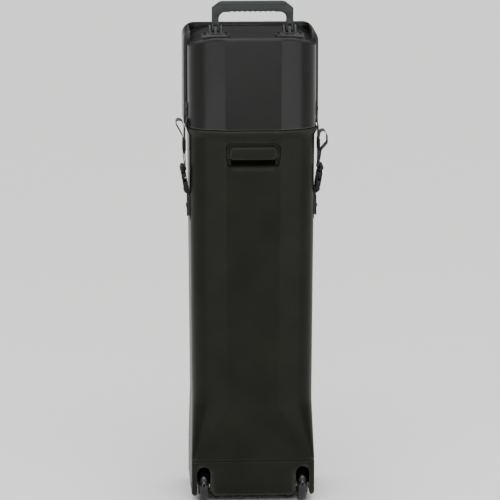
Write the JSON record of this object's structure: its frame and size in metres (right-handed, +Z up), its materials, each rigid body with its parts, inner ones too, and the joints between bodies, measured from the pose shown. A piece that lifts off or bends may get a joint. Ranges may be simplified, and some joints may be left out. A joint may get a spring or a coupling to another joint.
{
  "type": "wheeled hard transport case",
  "caption": "Tall rotomoulded transport case with slip-over lid, bow handle, side buckle straps and inset wheels.",
  "frame": {"origin": "on the floor under the centre of the bounding box", "axes": "+X across the case to the right as seen from the wheel side, -Y to the wheel side with the grab lip, +Z up"},
  "size_m": [0.3589, 0.256, 1.199],
  "materials": {
    "shell_black": "pebbled rotomoulded polyethylene",
    "handle_grey": "fine grained moulded nylon",
    "bracket_grey": "worn dark grey powder coat",
    "steel": "zinc plated",
    "rivet_dark": "blackened rivets",
    "tyre": "smooth cast polyurethane",
    "hub": "glass filled nylon",
    "bearing": "ground bearing steel",
    "brass": "machined",
    "foot": "moulded rubber",
    "buckle": "moulded acetal",
    "web": "woven polypropylene webbing",
    "elastic": "woven elastic band"
  },
  "bodies": {
    "case_body": {"body_shell": "shell_black", "left_bearing_inner_rings": "bearing", "left_bearing_balls": "bearing", "left_bearing_sleeve": "steel", "left_axle_spacers": "steel", "left_axle_bolt": "steel", "left_axle_insert": "brass", "left_foot": "foot", "left_foot_screw": "steel", "left_buckle_socket": "buckle", "left_lower_webbing": "web", "left_lower_strap_plate": "rivet_dark", "left_lower_strap_rivets": "rivet_dark", "right_bearing_inner_rings": "bearing", "right_bearing_balls": "bearing", "right_bearing_sleeve": "steel", "right_axle_spacers": "steel", "right_axle_bolt": "steel", "right_axle_insert": "brass", "right_foot": "foot", "right_foot_screw": "steel", "right_buckle_socket": "buckle", "right_lower_webbing": "web", "right_lower_strap_plate": "rivet_dark", "right_lower_strap_rivets": "rivet_dark"},
    "lid": {"lid_shell": "shell_black", "left_handle_bracket": "bracket_grey", "left_handle_pin": "steel", "left_bracket_rivets": "rivet_dark", "left_backing_plate": "steel", "left_upper_webbing": "web", "left_webbing_keeper": "elastic", "left_upper_strap_plate": "rivet_dark", "left_upper_strap_rivets": "rivet_dark", "right_handle_bracket": "bracket_grey", "right_handle_pin": "steel", "right_bracket_rivets": "rivet_dark", "right_backing_plate": "steel", "right_upper_webbing": "web", "right_webbing_keeper": "elastic", "right_upper_strap_plate": "rivet_dark", "right_upper_strap_rivets": "rivet_dark"},
    "carry_handle": {"handle": "handle_grey"},
    "left_wheel": {"left_wheel_tyre": "tyre", "left_wheel_hub": "hub", "left_bearing_outer_rings": "bearing"},
    "left_buckle": {"left_buckle_tongue": "buckle"},
    "right_wheel": {"right_wheel_tyre": "tyre", "right_wheel_hub": "hub", "right_bearing_outer_rings": "bearing"},
    "right_buckle": {"right_buckle_tongue": "buckle"}
  },
  "joints": [
    {"name": "lid_lift", "type": "slide", "parent": "case_body", "child": "lid", "axis": [0, 0, 1], "range_m": [0, 0.25]},
    {"name": "handle_fold", "type": "hinge", "parent": "lid", "child": "carry_handle", "pos_m": [0, -0.08, 1.1345], "axis": [1, 0, 0], "range_deg": [-88, 88]},
    {"name": "left_wheel_spin", "type": "hinge", "parent": "case_body", "child": "left_wheel", "pos_m": [-0.118, -0.09, 0.038], "axis": [1, 0, 0], "continuous": true},
    {"name": "left_buckle_pull", "type": "slide", "parent": "lid", "child": "left_buckle", "axis": [-0.1678, 0, 0.9858], "range_m": [0, 0.028], "deforming": ["left_upper_webbing"]},
    {"name": "right_wheel_spin", "type": "hinge", "parent": "case_body", "child": "right_wheel", "pos_m": [0.118, -0.09, 0.038], "axis": [1, 0, 0], "continuous": true},
    {"name": "right_buckle_pull", "type": "slide", "parent": "lid", "child": "right_buckle", "axis": [0.1678, 0, 0.9858], "range_m": [0, 0.028], "deforming": ["right_upper_webbing"]}
  ]
}
